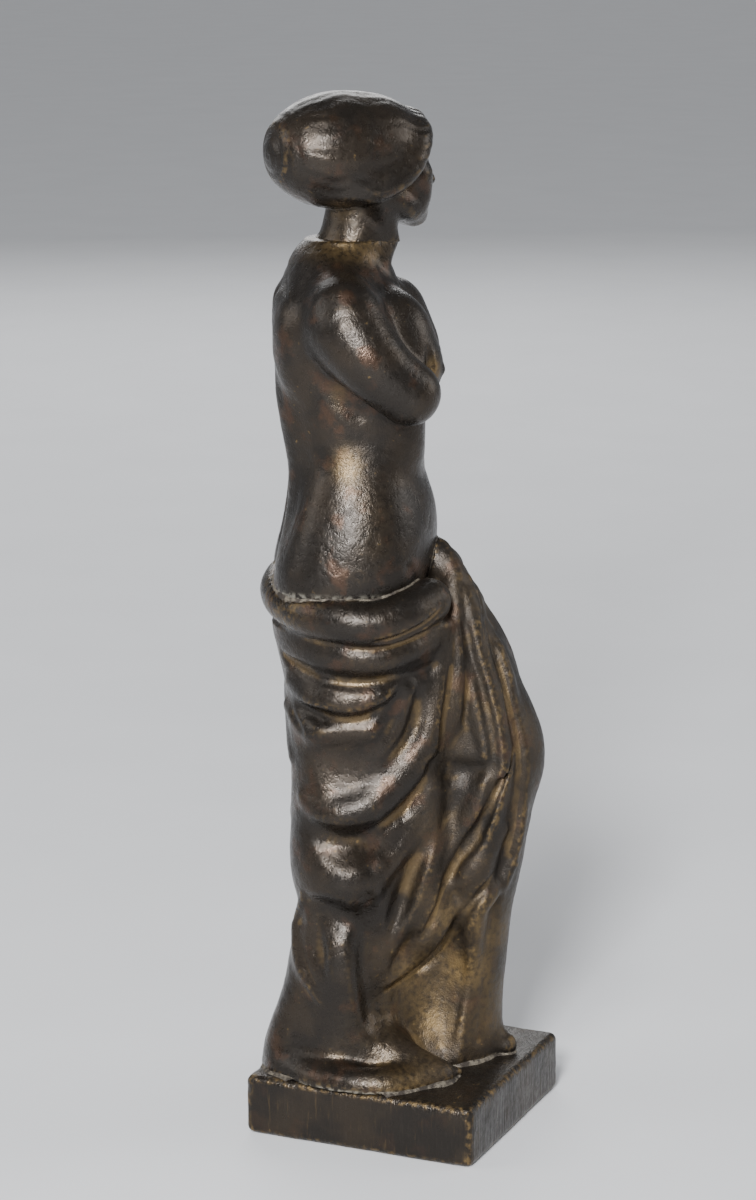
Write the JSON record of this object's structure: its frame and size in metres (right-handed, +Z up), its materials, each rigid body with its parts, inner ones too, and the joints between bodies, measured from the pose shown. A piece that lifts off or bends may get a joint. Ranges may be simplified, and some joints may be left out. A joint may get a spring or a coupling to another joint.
{
  "type": "bronze statuette",
  "caption": "Small cast bronze statuette of an armless, half-draped standing woman on a square plinth.",
  "frame": {"origin": "middle of the plinth's underside, on the surface that the statuette stands on", "axes": "+Z up; the plinth's front edge, the figure's front, faces -Y; +X is the figure's left"},
  "size_m": [0.0378, 0.0416, 0.16],
  "materials": {
    "plinth_bronze": "dark brown-black patina, file-dressed sides, worn golden edges",
    "drapery_bronze": "dark patina on the folds, golden-brown unchased hollows",
    "flesh_bronze": "smooth dark patina with reddish tints and rubbed golden spots",
    "head_bronze": "dark patina, rubbed golden at the nape",
    "solder": "dull grey soft solder",
    "pin_steel": "plain turned steel, lightly rusted",
    "screw_steel": "slotted round-head screw, dull steel"
  },
  "bodies": {
    "root": {"plinth": "plinth_bronze", "draped_legs": "drapery_bronze", "torso": "flesh_bronze", "head": "head_bronze", "hip_solder_seam": "solder", "base_solder_seam": "solder", "hip_pin": "pin_steel", "key_pin": "pin_steel", "neck_pin": "pin_steel", "base_pin": "pin_steel", "base_screw": "screw_steel", "base_washer": "screw_steel"}
  },
  "joints": []
}
